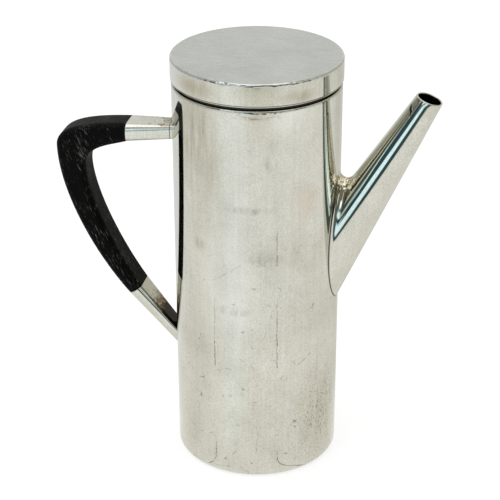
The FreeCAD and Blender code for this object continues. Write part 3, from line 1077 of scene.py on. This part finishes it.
# Socket: straight lines from a rounded section at the mouth through a smaller one at the root,
# run on to the tube; the hollow inside follows the same lines a wall's thickness in.
def makeSocket(name, shape, handle):
    mouth, root, across = socketLine(shape)
    middles, directions = np.stack([mouth, root]), np.stack([across, across])

    def sections(inset):
        width, thick, corner = (np.array(shape[key]) * mm for key in ("width", "thick", "corner"))
        inner = thick - 2 * inset
        return sectionRows(middles, directions, width - 2 * inset, inner, corner * inner / thick)

    def alongLines(ends, shares):
        line = ends[1] - ends[0]
        run = runToTube(ends[0], line, potRadius + contactGap)
        return ends[0] + line * run * np.reshape(shares, (-1, 1, 1))

    soften = handle["edgeBreak"] * mm
    length = np.linalg.norm(root - mouth)
    edge = [
        alongLines(sections(soften * (1 - math.sin(a))), [soften * (1 - math.cos(a)) / length])
        for a in np.linspace(0, math.pi / 2, handle["edgeSteps"])
    ]
    outer = alongLines(sections(0.0), np.linspace(2 * soften / length, 1, handle["socketRows"]))
    hollow = alongLines(sections(shape["wall"] * mm), [1.0, 0.5, 0.0])
    return gridPiece(name, np.concatenate(edge + [outer, hollow]), closeRows=True)


pinShape = {"radius": 1.2, "length": 4.6, "crown": 0.25, "proud": 0.04, "segments": 40}


# Pin: a turned rod with a crowned head, its axis set across the socket, head at the under side.
def makePin(name, shape, socket):
    mouth, root, inward = socketLine(socket)
    share = socket["pin"] * mm / np.linalg.norm(root - mouth)
    thick = (socket["thick"][0] * (1 - share) + socket["thick"][1] * share) * mm
    head = mouth + (root - mouth) * share - inward * (thick / 2 + shape["proud"] * mm)
    radius, length, crown = metres(shape[key] for key in ("radius", "length", "crown"))
    outline = softCorners([(0, 0, 0), (radius, 0, crown), (radius, length, 0), (0, length, 0)])
    standing = turnedGrid(outline.reshape(-1, 2), evenAngles(shape["segments"]))
    depth = np.array([0.0, 1.0, 0.0])
    axes = np.stack([np.cross(inward, depth), depth, inward])
    return gridPiece(name, head + standing @ axes, closeRows=True)


grip = makeGrip(handleShape, socketShapes)
finishPiece(grip, "pot", "handle_grip", ebony)
for place, socket in socketShapes.items():
    piece = makeSocket(place + "Socket", socket, handleShape)
    marks = [
        (socketGrime(socket, begin, full, cover), grimeLook[tint])
        for begin, full, cover, tint in grimeLook[place]
    ]
    marks.insert(1, (seamMask, seamLook["tint"]))
    if place == "upper":
        marks.append((collarMask, seamLook["tint"]))
    socketSilver = polishedSilver(place + "SocketSilver", silverLook, marks)
    finishPiece(piece, "pot", place + "_ferrule", socketSilver)
    pin = makePin(place + "Pin", pinShape, socket)
    finishPiece(pin, "pot", place + "_handle_pin", plainSilver)
print("handle made")

lidShape = {
    "topEdges": (0.0, 0.0, 1.2, 0.0),
    "topSteps": 10,
    "wall": 1.0,
    "lowEdge": 1.2,
    "ledge": 42.8,  # how far in the band's turned-in edge comes
    "bezelWall": 0.8,
    "bezelEdges": (0.25, 0.25, 0.0, 0.0),
}
lidTop = ringPiece("lidTop", "lid_top", 0.0, lidShape["topEdges"], steps=lidShape["topSteps"])
finishPiece(lidTop, "lid", "lid_top", lidSatin)

bandRadius, bandLow, bandHigh = turnedSize("lid_band")
bandInner, ledge = bandRadius - lidShape["wall"] * mm, lidShape["ledge"] * mm
lidBand = turnedPiece(
    "lidBand",
    [
        (ledge, bandLow, 0.0),
        (bandRadius, bandLow, lidShape["lowEdge"] * mm),
        (bandRadius, bandHigh, 0.0),
        (bandInner, bandHigh, 0.0),
        (bandInner, bandLow + lidShape["wall"] * mm, 0.0),
        (ledge, bandLow + lidShape["wall"] * mm, 0.0),
    ],
)
finishPiece(lidBand, "lid", "lid_band", bandSilver)

bezelInner = turnedSize("lid_bezel")[0] - lidShape["bezelWall"] * mm
lidBezel = ringPiece("lidBezel", "lid_bezel", bezelInner, lidShape["bezelEdges"])
finishPiece(lidBezel, "lid", "lid_bezel", bezelSilver)
print("lid made")

studioTurn = math.radians(11.5)  # the studio's open side, round from the front towards the spout
cameraPlace = {
    "distance": 0.7728,  # metres
    "height": 0.5084,
    "lookDown": 26.73,  # degrees
    "lens": 113.12,
    "sensor": 36.0,
    "shift": -0.014,
    "clip": (0.01, 50.0),
}
cameraData = bpy.data.cameras.new("photoCamera")
cameraData.sensor_width = cameraPlace["sensor"]
cameraData.lens = cameraPlace["lens"]
cameraData.shift_x = cameraPlace["shift"]
cameraData.clip_start, cameraData.clip_end = cameraPlace["clip"]
camera = bpy.data.objects.new("photoCamera", cameraData)
camera.location = (
    cameraPlace["distance"] * math.sin(studioTurn),
    -cameraPlace["distance"] * math.cos(studioTurn),
    cameraPlace["height"],
)
camera.rotation_euler = (math.radians(90 - cameraPlace["lookDown"]), 0.0, studioTurn)
bpy.context.scene.collection.objects.link(camera)
bpy.context.scene.camera = camera

studio = {
    "floorHalf": 4.0,  # metres
    "floorDrop": 0.3,  # mm under the pot
    "paper": (0.97, 0.97, 0.96),
    "shadowShare": 0.22,  # how much of the floor is lit paper, the rest glows
    "tableEdge": (0.65, 0.67),  # metres towards the open side where the mirrored table ends
    # mirrored table by bearing: degrees from the open side, right is plus
    "tableTones": [
        (-180, (0.66, 0.65, 0.60)),
        (-160, (0.78, 0.80, 0.81)),
        (-128, (0.885, 0.90, 0.90)),
        (-105, (0.91, 0.91, 0.885)),
        (-75, (0.895, 0.885, 0.845)),
        (-52, (0.93, 0.94, 0.92)),
        (-28, (1.02, 1.05, 1.06)),
        (-4, (0.98, 0.985, 0.97)),
        (30, (0.97, 0.965, 0.95)),
        (90, (0.92, 0.91, 0.88)),
        (112, (0.88, 0.88, 0.85)),
        (140, (0.72, 0.71, 0.66)),
        (180, (0.66, 0.65, 0.60)),
    ],
    "tableFade": (0.52, 0.64),  # metres towards the open side over which the mirrored table dims
    "fadedTable": (0.83, 0.815, 0.74),
    "tableNear": (0.26, 0.10),  # metres from the pot over which it grows warmer
    "warmTable": (1.0, 0.988, 0.965),
    "room": (0.21, 0.20, 0.15),
    "backWall": (0.84, 0.85, 0.83),
    "backRange": (-0.15, -0.45),  # of a direction's run towards the open side, where that wall sets in
    # panels of the mirrored room: bearing from, to, elevation from, to, soft border, colour
    "panels": [
        (62, 150, -20, 60, 16, (0.60, 0.59, 0.51)),
        (-150, -70, -20, 60, 16, (0.60, 0.61, 0.60)),
        (-68, -10, -40, 13, 2, (0.035, 0.078, 0.095)),
        (-12, 33, -40, 13, 4, (0.10, 0.145, 0.15)),
        (-53, -37, 17, 72, 3, (1.35, 1.5, 1.52)),
        (-38, -20, 14, 22, 3, (1.8, 2.1, 2.2)),
        (-20, -8, 9.5, 21, 3, (0.62, 0.72, 0.75)),
        (26, 105, 33, 39, 3, (1.15, 1.12, 1.0)),
        (-180, 180, 66, 92, 5, (1.5, 1.52, 1.52)),
        (-70, 70, 46, 68, 4, (1.5, 1.52, 1.52)),
        (-49, -12, -7, 1.5, 2, (1.02, 1.3, 1.42)),
        (-50, -12, 5.5, 11, 2, (1.05, 1.35, 1.42)),
        (-14, 6, 4.5, 8, 2, (0.95, 1.1, 1.12)),
        (31, 51, 4, 16, 2, (0.9, 0.9, 0.8)),
        (48, 66, -10, 20, 2, (0.05, 0.04, 0.025)),
    ],
    # lamps: name, place, aim, side in metres, watts
    "softboxes": [
        ("topLight", (-0.1, 0.1, 1.6), (0, 0, 0.1), 1.6, 18.0),
        ("windowLight", (-0.9, -1.1, 1.1), (0, 0, 0.12), 0.9, 6.0),
    ],
}


# Bearing round the pot from the studio's open side in degrees, right plus, for a direction or a
# place, and how far that runs towards the open side.
def bearing(tree, vector):
    turned = addNode(
        tree,
        "ShaderNodeVectorRotate",
        {"Vector": vector, "Axis": (0, 0, 1), "Angle": -studioTurn},
        rotation_type="AXIS_ANGLE",
    )
    split = addNode(tree, "ShaderNodeSeparateXYZ", {"Vector": turned.outputs[0]})
    onward = calc(tree, "MULTIPLY", split.outputs["Y"], -1.0)
    angle = calc(tree, "ARCTAN2", split.outputs["X"], onward)
    return calc(tree, "MULTIPLY", angle, math.degrees(1.0)), onward


# One between low and high, fading to nothing over the border on both sides.
def between(tree, value, low, high, border):
    rise = fade(tree, value, low - border / 2, low + border / 2)
    fall = fade(tree, value, high - border / 2, high + border / 2, 1.0, 0.0)
    return multiply(tree, rise, fall)


# Shader between the first and the second by share.
def mixShaders(tree, share, first, second):
    return addNode(
        tree, "ShaderNodeMixShader", {0: share, 1: first.outputs[0], 2: second.outputs[0]}
    )


# Sheet of pale paper under the pot, lit and partly glowing. In the silver it shows as a table toned
# by bearing, dimmer far off and warmer close by.
def makeFloor(look):
    reach, under = look["floorHalf"], -look["floorDrop"] * mm
    corner = np.array([[-reach, -reach], [reach, -reach], [reach, reach], [-reach, reach]])
    points = np.concatenate([corner, np.full((4, 1), under)], axis=1)
    mesh = bpy.data.meshes.new("paleFloor")
    mesh.from_pydata(points.tolist(), [], [[0, 1, 2, 3]])
    floor = bpy.data.objects.new("paleFloor", mesh)
    bpy.context.scene.collection.objects.link(floor)
    material = bpy.data.materials.new("palePaper")
    material.use_nodes = True
    tree = material.node_tree
    tree.nodes.clear()
    path = addNode(tree, "ShaderNodeLightPath")
    coords = addNode(tree, "ShaderNodeTexCoord").outputs["Object"]
    angle, onward = bearing(tree, coords)
    share = fade(tree, angle, -180.0, 180.0)
    tones = ramp(tree, share, [((place + 180) / 360, tone) for place, tone in look["tableTones"]])
    dimmer = fade(tree, onward, *look["tableFade"])
    dimmed = mixColour(tree, dimmer, (1, 1, 1), look["fadedTable"])
    near = fade(tree, reachFromAxis(tree, coords), *look["tableNear"])
    dimmed = mixColour(tree, near, dimmed, look["warmTable"])
    shown = mixColour(tree, 1.0, tones, dimmed, "MULTIPLY")
    mirrored = addNode(tree, "ShaderNodeEmission", {"Color": shown, "Strength": 1.0})
    beyond = fade(tree, onward, *look["tableEdge"])
    clear = addNode(tree, "ShaderNodeBsdfTransparent")
    table = mixShaders(tree, beyond, mirrored, clear)
    paper = addNode(tree, "ShaderNodeBsdfDiffuse", {"Color": (*look["paper"], 1)})
    white = addNode(tree, "ShaderNodeEmission", {"Color": (1, 1, 1, 1), "Strength": 1.0})
    lit = mixShaders(tree, look["shadowShare"], white, paper)
    plain = mixShaders(tree, path.outputs["Is Camera Ray"], paper, lit)
    surface = mixShaders(tree, path.outputs["Is Glossy Ray"], plain, table)
    addNode(tree, "ShaderNodeOutputMaterial", {"Surface": surface.outputs[0]})
    floor.data.materials.append(material)


# The room round the pot: a dim tone, a pale wall behind, and panels by bearing and elevation.
def makeWorld(look):
    world = bpy.data.worlds.new("softRoom")
    bpy.context.scene.world = world
    world.use_nodes = True
    tree = world.node_tree
    tree.nodes.clear()
    direction = addNode(tree, "ShaderNodeTexCoord").outputs["Generated"]
    angle, onward = bearing(tree, direction)
    rise = calc(tree, "ARCSINE", heightOf(tree, direction))
    elevation = calc(tree, "MULTIPLY", rise, math.degrees(1.0))
    behind = fade(tree, onward, *look["backRange"])
    tone = mixColour(tree, behind, look["room"], look["backWall"])
    for left, right, low, high, border, colour in look["panels"]:
        sideways = between(tree, angle, left, right, border)
        upward = between(tree, elevation, low, high, border)
        tone = mixColour(tree, multiply(tree, sideways, upward), tone, colour)
    path = addNode(tree, "ShaderNodeLightPath")
    seen = mixColour(tree, path.outputs["Is Camera Ray"], tone, (1, 1, 1))
    room = addNode(tree, "ShaderNodeBackground", {"Color": seen, "Strength": 1.0})
    addNode(tree, "ShaderNodeOutputWorld", {"Surface": room.outputs[0]})


# Square lamp at a place, turned to its aim and unseen in the silver.
def addSoftbox(name, place, aim, size, power):
    data = bpy.data.lights.new(name, "AREA")
    data.shape, data.size, data.energy = "SQUARE", size, power
    lamp = bpy.data.objects.new(name, data)
    lamp.location = place
    lamp.rotation_euler = (Vector(aim) - Vector(place)).to_track_quat("-Z", "Y").to_euler()
    bpy.context.scene.collection.objects.link(lamp)
    lamp.visible_glossy = False


makeFloor(studio)
makeWorld(studio)
for softbox in studio["softboxes"]:
    addSoftbox(*softbox)
bpy.context.scene.view_settings.view_transform = "Standard"
print("camera, floor and light set")
